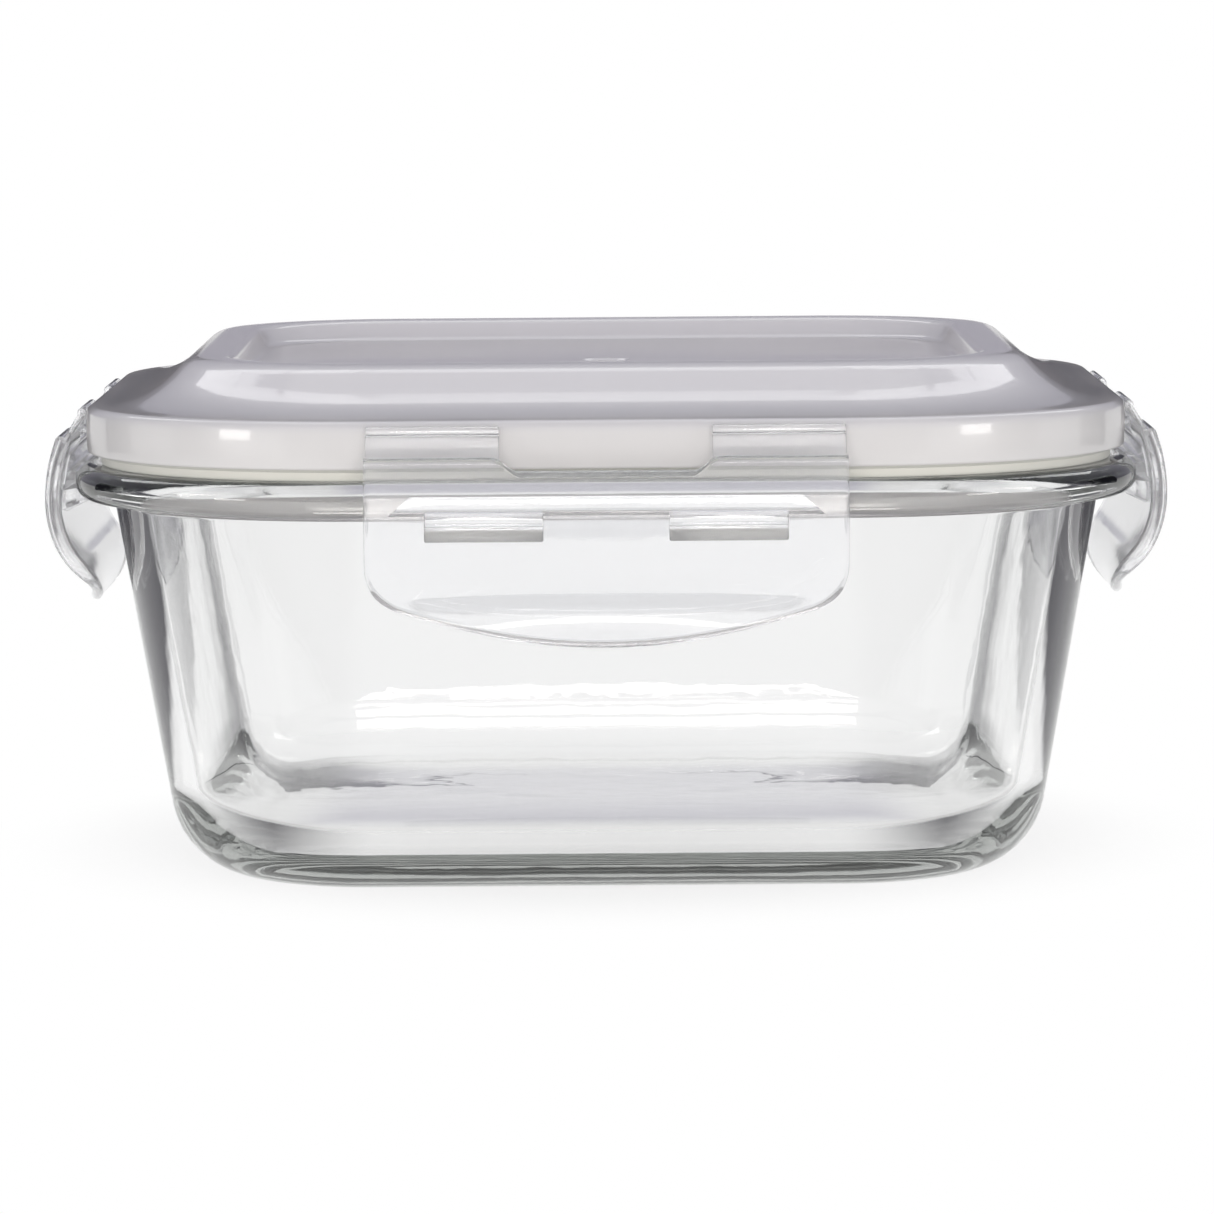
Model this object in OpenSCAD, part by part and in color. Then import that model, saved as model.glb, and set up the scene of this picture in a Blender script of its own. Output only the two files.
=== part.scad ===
/* [Glass body] */
// Width of the glass across its rim, flat side to flat side
rim_w = 170; // [150:1:210]
// Height of the glass from its base to the top of its rim
glass_h = 66.3; // [55:0.1:110]
// Corner radius of the rim, seen from above
rim_corner_r = 47.6; // [40:0.1:56]
// Height of the rounded bead round the rim
bead_h = 5.5; // [5:0.1:6.5]
// How far the bead stands out from the wall under it
bead_reach = 6.2; // [5:0.1:8]
// Lean of the walls from the vertical, in degrees
draft = 9.85; // [4:0.05:12]
// Thickness of the glass wall
wall_t = 4.5; // [3:0.1:6]
// Thickness of the glass base
base_t = 6.8; // [4:0.1:9]
// Radius of the outside edge between the wall and the base
base_edge_r = 14; // [6:0.5:17]
// Radius of the inside edge between the wall and the floor
floor_edge_r = 11; // [4:0.5:14]
// Bevel on the inner edge of the rim
mouth_bevel = 1.2; // [0.5:0.1:1.8]

/* [Lid] */
// Gap between the rim of the glass and the bottom of the lid's skirt
skirt_gap = 1.9; // [1:0.1:3]
// Height of the lid's ledge above the rim of the glass
ledge_z = 9.4; // [8:0.1:12]
// Height of the raised ring above the rim of the glass
ring_z = 17; // [15:0.1:22]
// Depth of the centre panel below the raised ring
panel_depth = 3.5; // [2:0.1:4.5]
// Width of the raised ring's flat top
ring_w = 6.4; // [4:0.1:10]
// Distance from the face of the skirt to the foot of the slope
ledge_w = 9.2; // [8:0.1:11]
// How far the skirt's face lies inside the edge of the rim bead
skirt_inset = 1.8; // [1.4:0.1:2.2]
// Thickness of the lid's moulding
lid_t = 2; // [1.4:0.1:2.4]
// Depth of the lip that reaches down inside the glass
lip_depth = 4; // [2:0.1:7]
// Thickness of that lip
lip_t = 1.6; // [1:0.1:2]
// Space between the lip and the inside of the glass
lip_clearance = 0.5; // [0.3:0.1:1]
// Diameter of the round mark at the middle of the centre panel
gate_d = 8; // [4:0.5:16]
// Depth of that mark
gate_depth = 0.4; // [0.2:0.1:0.8]

/* [Seal] */
// Height of the seal from the rim of the glass to the top of its groove
seal_h = 6; // [5:0.1:6.2]
// Width of the seal's foot, which presses on the rim
seal_foot_w = 3; // [2:0.1:4]
// Height of the seal's foot
seal_foot_h = 1.4; // [0.8:0.1:2]
// Space on each side of the seal in its groove
seal_clearance = 0.3; // [0.1:0.05:0.5]
// Thickness of the wall outside the seal's groove
groove_wall = 1.4; // [1:0.1:1.8]

/* [Locking flaps] */
// Width of each flap
flap_w = 74; // [68:1:84]
// Thickness of the flap's wall
flap_t = 2.6; // [1.8:0.1:2.8]
// Thickness of the flap at its tip
flap_tip_t = 1.6; // [1:0.1:2.4]
// How far the flap's face stands out past the edge of the rim bead
flap_reach = 5.2; // [5:0.1:7]
// How far the widest part of the flap lies below the rim of the glass
flap_belly_drop = 6.5; // [5:0.1:8]
// Radius of the flap's face above its widest part
flap_upper_r = 28.6; // [24:0.1:40]
// Radius of the flap's face below its widest part
flap_lower_r = 18; // [16:0.1:24]
// Radius of the outward curl at the flap's tip
flap_curl_r = 6; // [4:0.1:8]
// Angle at which the flap turns in before its tip curls out
flap_turn = 38.5; // [30:0.5:45]
// Angle of the outward curl at the flap's tip
flap_curl = 35; // [15:1:45]
// How far the middle of the flap's tip hangs below the rim of the glass
flap_drop = 25.3; // [24:0.1:28]
// Radius of the flap's curved lower edge, seen from the front
flap_edge_r = 98; // [80:1:160]
// Radius of the flap's lower corners, seen from the front
flap_corner_r = 8; // [4:0.5:10]
// Width of the notch between the two hinge strips, at its bottom
notch_w = 27; // [20:1:34]
// How far each side of the notch leans outward
notch_flare = 2.8; // [1:0.1:4]
// Height of the notch's bottom above the rim of the glass
notch_z = 1.9; // [1:0.1:3]
// Width of the stiffening rib behind the bead, along its longer edge
rib_w = 67; // [50:1:68]
// How far each end of the rib leans in from its lower to its upper edge
rib_slant = 3.5; // [1:0.1:6]
// Angle round the bead, above the horizontal, at which the rib starts
rib_top_angle = 14; // [8:1:18]
// Angle round the bead, below the horizontal, at which the rib ends
rib_low_angle = 35; // [30:1:40]
// How far the rib's lower face falls towards the flap's wall
rib_fall = 0.5; // [0:0.1:1]
// Width of each hook
hook_w = 18.2; // [12:0.1:22]
// Distance of each hook's middle from the middle of the flap
hook_x = 18.7; // [16:0.1:22]
// Angle round the bead, below the horizontal, to which the hooks reach
hook_wrap = 66; // [50:1:70]
// Thickness of a hook at its tip
hook_tip_t = 1.2; // [0.8:0.1:2]
// How far below the flap's widest part the hooks meet its wall
hook_root_drop = 2.8; // [2:0.1:3.4]
// Space between the bead and the flap's rib and hooks
bead_clearance = 0.35; // [0.3:0.05:0.5]

/* [Hinge strips] */
// Thickness of each hinge strip
strip_t = 1; // [0.8:0.1:1.2]
// Height of the strip's root above the rim of the glass
strip_root_z = 7.9; // [7:0.1:8.4]
// Height of the flap's top edge centre above the rim of the glass
flap_nose_z = 2.6; // [2.4:0.1:4]
// Space between the skirt and the strip's round root
hinge_clearance = 0.3; // [0.2:0.05:0.4]
// Distance of each strip's outer end from the side of the flap
strip_inset = 0.3; // [0:0.1:2]

/* [Hidden] */
$fn = 96;
ARC_STEPS = 16;
CUT = 1;
HUB_GAP = 0.5;
HUB_LAP = 2;

// Half widths are measured from the middle of the box, heights from the base of the glass.
rim_half = rim_w / 2;
corner_c = rim_half - rim_corner_r;
hub_x = corner_c + HUB_GAP;
lean = tan(draft);
bead_r = bead_h / 2;
bead_x = rim_half - bead_r;
bead_z = glass_h - bead_r;
wall_top_x = rim_half - bead_reach;
wall_foot_x = wall_top_x - lean * (glass_h - bead_h);
inner_foot_x = wall_foot_x - wall_t + lean * base_t;
inner_top_x = wall_foot_x - wall_t + lean * glass_h;
mouth_x = inner_top_x + mouth_bevel;

skirt_x = rim_half - skirt_inset;
groove_out_x = skirt_x - groove_wall;
groove_in_x = mouth_x + seal_clearance;
seal_out_x = groove_out_x - seal_clearance;
seal_in_x = groove_in_x + seal_clearance;
seal_mid_x = (seal_out_x + seal_in_x) / 2;
groove_z = glass_h + seal_h;
skirt_z = glass_h + skirt_gap;
step_z = glass_h + seal_clearance;
lip_z = glass_h - lip_depth;
lip_out_x = inner_top_x - lean * lip_depth - lip_clearance;
lip_in_x = lip_out_x - lip_t;
slope_foot_x = skirt_x - ledge_w;
slope_rise = ring_z - ledge_z;
slope_t = lid_t * sqrt(2);
ring_out_x = slope_foot_x - slope_rise;
ring_in_x = ring_out_x - ring_w;
panel_x = ring_in_x - panel_depth / 2;
ledge_top = glass_h + ledge_z;
ring_top = glass_h + ring_z;
panel_top = ring_top - panel_depth;
skirt_edge = 1;

flap_x = rim_half + flap_reach;
belly_z = glass_h - flap_belly_drop;
nose_r = flap_t / 2;
nose_z = glass_h + flap_nose_z;
nose_angle = asin((nose_z - belly_z) / (flap_upper_r - nose_r));
nose_x = flap_x - flap_upper_r + (flap_upper_r - nose_r) * cos(nose_angle);
curl_arm = flap_lower_r + flap_curl_r;
curl_x = flap_x - flap_lower_r + curl_arm * cos(flap_turn);
curl_z = belly_z - curl_arm * sin(flap_turn);
edge_centre_z = glass_h - flap_drop + flap_edge_r;
corner_x = flap_w / 2 - flap_corner_r;
corner_arm = flap_edge_r - flap_corner_r;
corner_angle = asin(corner_x / corner_arm);
corner_z = edge_centre_z - corner_arm * cos(corner_angle);
hook_arm = bead_r + bead_clearance;
hook_back_x = flap_x - nose_r;
hook_root_z = belly_z - hook_root_drop;

strip_r = strip_t / 2;
root_x = skirt_x + hinge_clearance + strip_r;
root_z = glass_h + strip_root_z;
strip_angle = atan2(nose_z - root_z, nose_x - root_x);
strip_len = norm([nose_x - root_x, nose_z - root_z]);
strip_in = notch_w / 2 + notch_flare;
strip_out = flap_w / 2 - strip_inset;

// Points on an arc, from angle a to angle b.
function arc(x, z, r, a, b) =
    [for (i = [0:ARC_STEPS]) let (t = a + (b - a) * i / ARC_STEPS) [x + r * cos(t), z + r * sin(t)]];

// The middle of the round edge that joins a leaning wall to a flat floor.
function edge_centre_x(foot_x, r) = foot_x - r * (1 - sin(draft)) / cos(draft);

// Sweeps a section round the box: x is its half width and y its height. A section that fills
// the box starts at hub_x, just outside the corners' centres, and middle() closes what is left.
module swept() {
    for (turn = [0:3]) rotate(turn * 90) {
        translate([corner_c, corner_c, 0])
            rotate_extrude(angle = 90)
                translate([-corner_c, 0]) children();
        rotate([90, 0, 0])
            linear_extrude(height = 2 * corner_c, center = true) children();
    }
}

// Fills the middle of a swept piece between two heights.
module middle(low, high) {
    side = 2 * (corner_c + HUB_LAP);
    translate([-side / 2, -side / 2, low]) cube([side, side, high - low]);
}

// Turns a section in x and z, drawn for the right-hand side, into a bar along that side.
module bar(from, to) {
    translate([0, to, 0])
        rotate([90, 0, 0])
            linear_extrude(height = to - from) children();
}

// Turns an outline seen from the side's front into a slab along x.
module slab(from, to) {
    translate([from, 0, 0])
        rotate([90, 0, 90])
            linear_extrude(height = to - from) children();
}

module glass_outside() {
    edge_x = edge_centre_x(wall_foot_x, base_edge_r);
    polygon([
        [hub_x, 0],
        [edge_x, 0],
        [edge_x + base_edge_r * cos(draft), base_edge_r * (1 - sin(draft))],
        [wall_top_x, glass_h - bead_h],
        [bead_x, glass_h - bead_h],
        [bead_x, glass_h],
        [hub_x, glass_h]
    ]);
    translate([edge_x, base_edge_r]) circle(r = base_edge_r);
    translate([bead_x, bead_z]) circle(r = bead_r);
}

module glass_inside() {
    edge_x = edge_centre_x(inner_foot_x, floor_edge_r);
    polygon([
        [hub_x, base_t],
        [edge_x, base_t],
        [edge_x + floor_edge_r * cos(draft), base_t + floor_edge_r * (1 - sin(draft))],
        [inner_top_x - lean * mouth_bevel, glass_h - mouth_bevel],
        [mouth_x, glass_h],
        [mouth_x, glass_h + CUT],
        [hub_x, glass_h + CUT]
    ]);
    translate([edge_x, base_t + floor_edge_r]) circle(r = floor_edge_r);
}

module glass_body() {
    color([0.80, 0.86, 0.84, 0.5])
    difference() {
        union() {
            swept() glass_outside();
            middle(0, glass_h);
        }
        swept() glass_inside();
        middle(base_t, glass_h + CUT);
    }
}

module seal_section() {
    polygon([
        [seal_mid_x - seal_foot_w / 2, glass_h],
        [seal_mid_x + seal_foot_w / 2, glass_h],
        [seal_mid_x + seal_foot_w / 2, glass_h + seal_foot_h],
        [seal_out_x, glass_h + seal_foot_h + seal_clearance],
        [seal_out_x, groove_z],
        [seal_in_x, groove_z],
        [seal_in_x, glass_h + seal_foot_h + seal_clearance],
        [seal_mid_x - seal_foot_w / 2, glass_h + seal_foot_h]
    ]);
}

module seal_ring() {
    color([0.92, 0.91, 0.88]) swept() seal_section();
}

module lid_section() {
    under_slope = slope_foot_x + ledge_top - slope_t;
    polygon([
        [hub_x, panel_top - lid_t],
        [panel_x + lid_t, panel_top - lid_t],
        [ring_in_x + lid_t, ring_top - lid_t],
        [under_slope - (ring_top - lid_t), ring_top - lid_t],
        [lip_in_x, under_slope - lip_in_x],
        [lip_in_x, lip_z],
        [lip_out_x, lip_z],
        [lip_out_x, step_z],
        [groove_in_x, step_z],
        [groove_in_x, groove_z],
        [groove_out_x, groove_z],
        [groove_out_x, skirt_z],
        [skirt_x, skirt_z],
        [skirt_x, ledge_top - skirt_edge],
        [skirt_x - skirt_edge, ledge_top],
        [slope_foot_x, ledge_top],
        [ring_out_x, ring_top],
        [ring_in_x, ring_top],
        [panel_x, panel_top],
        [hub_x, panel_top]
    ]);
}

module lid() {
    color([0.86, 0.85, 0.86])
    difference() {
        union() {
            swept() lid_section();
            middle(panel_top - lid_t, panel_top);
        }
        translate([0, 0, panel_top - gate_depth]) cylinder(h = gate_depth + CUT, d = gate_d);
    }
}

// The flap's wall: two arcs that bulge outward and a curl that turns back out at the tip.
module flap_section() {
    turn = [for (i = [0:ARC_STEPS]) flap_t + (flap_tip_t - flap_t) * i / ARC_STEPS];
    curl_start = 180 - flap_turn;
    curl_end = 180 + flap_curl;
    curl = [for (i = [0:ARC_STEPS]) curl_start + (curl_end - curl_start) * i / ARC_STEPS];
    inner_curl = [for (i = [ARC_STEPS:-1:0])
        [curl_x + (flap_curl_r + turn[i]) * cos(curl[i]), curl_z + (flap_curl_r + turn[i]) * sin(curl[i])]];
    tip_arm = flap_curl_r + flap_tip_t / 2;
    polygon(concat(
        arc(flap_x - flap_upper_r, belly_z, flap_upper_r, nose_angle, 0),
        arc(flap_x - flap_lower_r, belly_z, flap_lower_r, 0, -flap_turn),
        arc(curl_x, curl_z, flap_curl_r, curl_start, curl_end),
        inner_curl,
        arc(flap_x - flap_lower_r, belly_z, flap_lower_r - flap_t, -flap_turn, 0),
        arc(flap_x - flap_upper_r, belly_z, flap_upper_r - flap_t, 0, nose_angle)
    ));
    translate([nose_x, nose_z]) circle(d = flap_t);
    translate([curl_x + tip_arm * cos(curl_end), curl_z + tip_arm * sin(curl_end)]) circle(d = flap_tip_t);
}

// The flap seen from the front: straight sides, round corners and a curved lower edge.
module flap_outline() {
    polygon(concat(
        [[flap_w / 2, root_z + CUT]],
        arc(corner_x, corner_z, flap_corner_r, 0, corner_angle - 90),
        arc(0, edge_centre_z, flap_edge_r, corner_angle - 90, -90 - corner_angle),
        arc(-corner_x, corner_z, flap_corner_r, -90 - corner_angle, -180),
        [[-flap_w / 2, root_z + CUT]]
    ));
}

module notch_outline() {
    top_z = nose_z + nose_r + CUT;
    slant = notch_flare * (top_z - glass_h - notch_z) / (nose_z + nose_r - glass_h - notch_z);
    polygon([
        [-notch_w / 2, glass_h + notch_z],
        [notch_w / 2, glass_h + notch_z],
        [notch_w / 2 + slant, top_z],
        [-notch_w / 2 - slant, top_z]
    ]);
}

// The rib and the hooks follow the round edge of the bead at a constant distance.
module rib_section() {
    polygon(concat(
        arc(bead_x, bead_z, hook_arm, rib_top_angle, -rib_low_angle),
        [
            [hook_back_x, bead_z - hook_arm * sin(rib_low_angle) - rib_fall],
            [hook_back_x, bead_z + hook_arm * sin(rib_top_angle)]
        ]
    ));
}

module rib_outline() {
    low_z = bead_z - hook_arm - CUT;
    top_z = bead_z + hook_arm;
    polygon([
        [-rib_w / 2, low_z], [rib_w / 2, low_z],
        [rib_w / 2 - rib_slant, top_z], [rib_slant - rib_w / 2, top_z]
    ]);
}

module hook_section() {
    tip = [bead_x + hook_arm * cos(hook_wrap), bead_z - hook_arm * sin(hook_wrap)];
    polygon(concat(
        arc(bead_x, bead_z, hook_arm, 0, -hook_wrap),
        [tip - [0, hook_tip_t], [hook_back_x, hook_root_z], [hook_back_x, bead_z]]
    ));
}

module flap() {
    intersection() {
        bar(-flap_w / 2, flap_w / 2) flap_section();
        difference() {
            slab(rim_half - flap_w / 2, rim_half + flap_w / 2) flap_outline();
            slab(rim_half - flap_w, rim_half + flap_w) notch_outline();
        }
    }
    intersection() {
        bar(-rib_w / 2, rib_w / 2) rib_section();
        slab(rim_half - flap_w / 2, rim_half + flap_w / 2) rib_outline();
    }
    for (side = [-1, 1])
        bar(side * hook_x - hook_w / 2, side * hook_x + hook_w / 2) hook_section();
}

// A strip's section, from its round root at the skirt to the round top edge of the flap.
module strip_section() {
    difference() {
        union() {
            circle(r = strip_r);
            translate([0, -strip_r]) square([strip_len, strip_t]);
        }
        translate([strip_len, 0]) circle(r = nose_r);
    }
}

// Two strips, one on each side of the notch, between the skirt and the flap's top edge.
module hinge_strip() {
    for (from = [-strip_out, strip_in])
        translate([root_x, 0, root_z]) rotate([0, -strip_angle, 0])
            bar(from, from + strip_out - strip_in) strip_section();
}

module hinge_strip_right() { color([0.83, 0.82, 0.84]) hinge_strip(); }
module hinge_strip_back() { color([0.83, 0.82, 0.84]) rotate(90) hinge_strip(); }
module hinge_strip_left() { color([0.83, 0.82, 0.84]) rotate(180) hinge_strip(); }
module hinge_strip_front() { color([0.83, 0.82, 0.84]) rotate(270) hinge_strip(); }

module flap_right() { color([0.90, 0.90, 0.91]) flap(); }
module flap_back() { color([0.90, 0.90, 0.91]) rotate(90) flap(); }
module flap_left() { color([0.90, 0.90, 0.91]) rotate(180) flap(); }
module flap_front() { color([0.90, 0.90, 0.91]) rotate(270) flap(); }

glass_body();
seal_ring();
lid();
hinge_strip_front();
hinge_strip_back();
hinge_strip_left();
hinge_strip_right();
flap_front();
flap_back();
flap_left();
flap_right();
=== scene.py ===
import math

import bmesh
import bpy
import numpy as np
from mathutils import Matrix, Vector

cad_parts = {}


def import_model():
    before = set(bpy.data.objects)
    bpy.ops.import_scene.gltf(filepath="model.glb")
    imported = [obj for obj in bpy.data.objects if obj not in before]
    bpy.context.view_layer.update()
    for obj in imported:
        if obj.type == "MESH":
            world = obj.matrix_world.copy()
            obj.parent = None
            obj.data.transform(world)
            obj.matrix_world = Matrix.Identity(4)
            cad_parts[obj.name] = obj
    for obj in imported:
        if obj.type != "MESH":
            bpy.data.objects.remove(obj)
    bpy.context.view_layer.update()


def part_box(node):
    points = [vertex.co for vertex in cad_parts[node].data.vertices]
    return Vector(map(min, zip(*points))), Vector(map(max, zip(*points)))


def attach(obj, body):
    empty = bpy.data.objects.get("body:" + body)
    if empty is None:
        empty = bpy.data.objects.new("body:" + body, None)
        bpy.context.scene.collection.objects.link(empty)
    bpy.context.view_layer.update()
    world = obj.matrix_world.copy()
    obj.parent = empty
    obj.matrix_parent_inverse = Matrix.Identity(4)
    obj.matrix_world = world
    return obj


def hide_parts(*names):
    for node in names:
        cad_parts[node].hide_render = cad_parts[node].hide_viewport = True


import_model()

# Sizes are in millimetres and MM takes them to metres. Half widths are measured from the middle
# of the box and heights from the base of the glass, as in the CAD.
MM = 0.001


def box_mm(node):
    """Lowest and highest corner of a CAD node, in millimetres."""
    low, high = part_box(node)
    return Vector(low) / MM, Vector(high) / MM


_, glass_high = box_mm("glass_body")
lid_low, lid_high = box_mm("lid")
_, seal_high = box_mm("seal_ring")
flap_low, flap_high = box_mm("flap_right")

# Glass
RIM_HALF = glass_high.x
GLASS_H = glass_high.z
CORNER_C = RIM_HALF - 47.6
LEAST_CORNER_R = 2
BEAD_H = 5.5
BEAD_R = BEAD_H / 2
BEAD_FLAT = 0.02
BEAD_X = RIM_HALF - BEAD_R
BEAD_Z = GLASS_H - BEAD_R
WALL_TOP_X = RIM_HALF - 6.2
LEAN = math.tan(math.radians(9.85))
WALL_T = 4.5
BASE_T = 6.8
FOOT_R = 14
INNER_FOOT_R = 11
# The flat square in the middle, which one face fills
MIDDLE_HALF = 8
WALL_FOOT_X = WALL_TOP_X - LEAN * (GLASS_H - BEAD_H)
INNER_TOP_X = WALL_FOOT_X - WALL_T + LEAN * GLASS_H
INNER_FOOT_X = WALL_FOOT_X - WALL_T + LEAN * BASE_T

# Lid
SKIRT_X = lid_high.x
RING_TOP = lid_high.z
LEDGE_TOP = GLASS_H + 9.4
SKIRT_Z = GLASS_H + 1.9
SKIRT_CROWN = 0.25
LID_T = 2.0
SLOPE_FOOT_X = SKIRT_X - 9.2
RING_OUT_X = SLOPE_FOOT_X - (RING_TOP - LEDGE_TOP)
RING_IN_X = RING_OUT_X - 6.4
PANEL_DEPTH = 3.5
PANEL_TOP = RING_TOP - PANEL_DEPTH
PANEL_X = RING_IN_X - PANEL_DEPTH / 2
GROOVE_OUT_X = seal_high.x + 0.3
GROOVE_IN_X = INNER_TOP_X + 1.5
GROOVE_Z = seal_high.z
LIP_Z = lid_low.z
LIP_OUT_X = INNER_TOP_X - LEAN * (GLASS_H - LIP_Z) - 0.5
LIP_IN_X = LIP_OUT_X - 1.6
STEP_Z = GLASS_H + 0.3
GATE_R = 4.0
GATE_DEPTH = 0.4
# Loops inside this half width are circles
ROUND_X = GATE_R + 1.0
RING_OUT_R = 5.0
SLOPE_FOOT_R = 15.0
SKIRT_CROWN_R = 30

# Flaps
FLAP_X = flap_high.x
FLAP_HALF = flap_high.y
FLAP_T = 2.6
TIP_T = 1.6
BELLY_Z = GLASS_H - 6.5
UPPER_R = 28.6
LOWER_R = 18.0
CURL_R = 6.0
TURN = math.radians(38.5)
CURL = math.radians(35)
FLAP_BOTTOM = flap_low.z
EDGE_R = 98.0
EDGE_Z = FLAP_BOTTOM + EDGE_R
FLAP_CORNER_R = 8.0
FLAP_CORNER_X = FLAP_HALF - FLAP_CORNER_R
NOTCH_HALF = 13.5
STRIP_IN = 16.3
STRIP_INSET = 0.3
NOTCH_END = STRIP_IN + 1.0
NOTCH_Z = GLASS_H + 1.9
NOSE_Z = GLASS_H + 2.6
NOSE_R = FLAP_T / 2
ROOT_X = SKIRT_X + 0.8
ROOT_Z = GLASS_H + 7.9
STRIP_T = 0.8
ROOT_R = 0.75
STRIP_EDGE_R = 0.2
HOOK_ARM = BEAD_R + 0.35
HOOK_BACK_X = FLAP_X - NOSE_R
HOOK_X = 18.7
HOOK_HALF = 9.1
HOOK_WRAP = math.radians(-66)
HOOK_TIP_T = 1.2
HOOK_ROOT_DROP = 2.8
HOOK_EDGE_R = 0.5
RIB_HALF = 33.5
RIB_SLANT = 3.5
RIB_TOP = math.radians(14)
RIB_LOW = math.radians(-35)
RIB_FALL = 0.5
RIB_EDGE_R = 0.25
# How far the rib and the hooks reach into the flap's wall
ROOTED = 0.2
# The thin raised frame behind the flap, with its depths as shares of the wall's half thickness
FRAME_HALF = 32.3
FRAME_LOW, FRAME_HIGH = 59.4, 67.4
FRAME_NEAR, FRAME_FAR = -0.5, -1.12
# The flap's wall: its rows, and its round edge with the distances that divide it
WALL_ROWS = 60
WALL_EDGE_R = 0.8
WALL_EDGE_MOST = 0.92
WALL_EDGE_STEPS = (0.0, 0.06, 0.17, 0.33, 0.55)
CURL_HALF = 32.0
CURL_FADE = 0.6

# The lid's colour, and the skirt's painted light: a lighter, less blue colour that stands in for
# light coming through the skirt, with the height over which it fades out
LID_COLOUR = (0.63, 0.632, 0.68, 1)
SKIRT_PAINTED_LIGHT = (0.69, 0.69, 0.70, 1)
SKIRT_LIGHT_FADE = 2.0

# Studio, in metres and degrees
EYE = (0, -1.020, 0.1431)
LENS = 182.1
PITCH_DOWN = 5.86
ROLL = -0.45
FLOOR_R = 6
FLOOR_DROP = 0.00005
SHADOW_IN, SHADOW_OUT = 0.05, 0.105
SHADOW_WHITE = 0.75
# Painted shadow: the floor's white is painted dimmer and bluer under the box, within this half
# width and fade
PAINTED_SHADOW_HALF = 0.040
PAINTED_SHADOW_FADE = 0.014
PAINTED_SHADOW_COLOUR = (0.50, 0.49, 0.58, 1)
LANE_HALF = 0.035
LANE_FADE = 0.03
LANE_GREY = (0.03, 0.028, 0.04, 1)
FILL_COLOUR = (0.91, 0.935, 1.0, 1)
FILL = 0.40
CARD_STEP = 4
FLAGS = 8
FLAG_SPREAD = 10.5
FLAG_R = 0.55
FLAG_H = 0.20
FLAG_COLOUR = (0.06, 0.058, 0.075)
BACK_WALL_R = 2.6
BACK_WALL_LOW, BACK_WALL_HIGH = 0.16, 5.5
BACK_WALL_COLOUR = (0.40, 0.39, 0.46)
KEY_PLACE = (0, -1.9, 0.30)
KEY_TARGET = (0, 0, 0.06)
KEY_SIZE = (1.8, 0.4)
KEY_WATTS = 30
KEY_COLOUR = (1.0, 0.955, 0.905)
STRIP_LINE = ((0.11, 0.42), (0.60, 0.55), (1.05, 0.90), (1.45, 1.40), (1.90, 2.30))
STRIP_H = 1.6
STRIP_W = 0.50
STRIP_POWER = 10
STRIP_MIDDLE_SHARE = 0.75
WINDOW_X, WINDOW_Y, WINDOW_H = 0.55, -0.42, 0.085
WINDOW_SIZE = (0.17, 0.07)
WINDOW_WATTS = 0.35
WINDOW_COLOUR = (1.0, 0.98, 0.95)

SIDES = {"right": 0, "back": 90, "left": 180, "front": 270}

ARC_STEP = math.radians(9)
CORNER_STEPS = 28
SIDE_STEPS = 10


# ---------------------------------------------------------------- outlines

def rounded(points, closed=False):
    """A path with its corners rounded: each point is x, z and the corner's radius."""
    path = []
    count = len(points)
    for i, (x, z, r) in enumerate(points):
        here = Vector((x, z))
        if r == 0 or (not closed and i in (0, count - 1)):
            path.append(here)
            continue
        before = (Vector(points[i - 1][:2]) - here).normalized()
        after = (Vector(points[(i + 1) % count][:2]) - here).normalized()
        half = before.angle(after) / 2
        reach = r / math.tan(half)
        centre = here + (before + after).normalized() * (r / math.sin(half))
        start = here + before * reach - centre
        end = here + after * reach - centre
        sweep = start.angle_signed(end)
        steps = max(2, math.ceil(abs(sweep) / ARC_STEP))
        for k in range(steps + 1):
            path.append(centre + Matrix.Rotation(-sweep * k / steps, 2) @ start)
    return path


def arc(x, z, r, start, end, steps=16):
    """Points on an arc, with its angles in radians."""
    turn = [start + (end - start) * k / steps for k in range(steps + 1)]
    return [Vector((x + r * math.cos(a), z + r * math.sin(a))) for a in turn]


# ---------------------------------------------------------------- meshes

def finish_mesh(name, mesh, smooth_angle=32):
    """Makes an object of a mesh in millimetres, with its normals outward and its edges set."""
    bm = bmesh.new()
    bm.from_mesh(mesh)
    bmesh.ops.remove_doubles(bm, verts=bm.verts, dist=1e-4)
    bmesh.ops.recalc_face_normals(bm, faces=bm.faces)
    bmesh.ops.scale(bm, vec=(MM, MM, MM), verts=bm.verts)
    bm.to_mesh(mesh)
    bm.free()
    for face in mesh.polygons:
        face.use_smooth = True
    mesh.set_sharp_from_angle(angle=math.radians(smooth_angle))
    obj = bpy.data.objects.new(name, mesh)
    bpy.context.scene.collection.objects.link(obj)
    return obj


def mesh_from(name, verts, faces):
    """A mesh in millimetres of points and faces."""
    mesh = bpy.data.meshes.new(name)
    mesh.from_pydata([tuple(v) for v in verts], [], faces)
    return mesh


def square_ring(x, z, corner_c):
    """One loop round the box: a square of half width x with round corners about corner_c."""
    ring = []
    radius = x - corner_c
    for quarter in range(4):
        base = quarter * math.pi / 2
        sx = math.copysign(1, math.cos(base + math.pi / 4))
        sy = math.copysign(1, math.sin(base + math.pi / 4))
        for k in range(CORNER_STEPS + 1):
            a = base + math.pi / 2 * k / CORNER_STEPS
            at_x = sx * corner_c + radius * math.cos(a)
            at_y = sy * corner_c + radius * math.sin(a)
            ring.append(Vector((at_x, at_y, z)))
        along = Vector((-math.sin(base + math.pi / 2), math.cos(base + math.pi / 2), 0))
        last = ring[-1]
        for k in range(1, SIDE_STEPS):
            ring.append(last + along * (2 * corner_c * k / SIDE_STEPS))
    return ring


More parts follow.
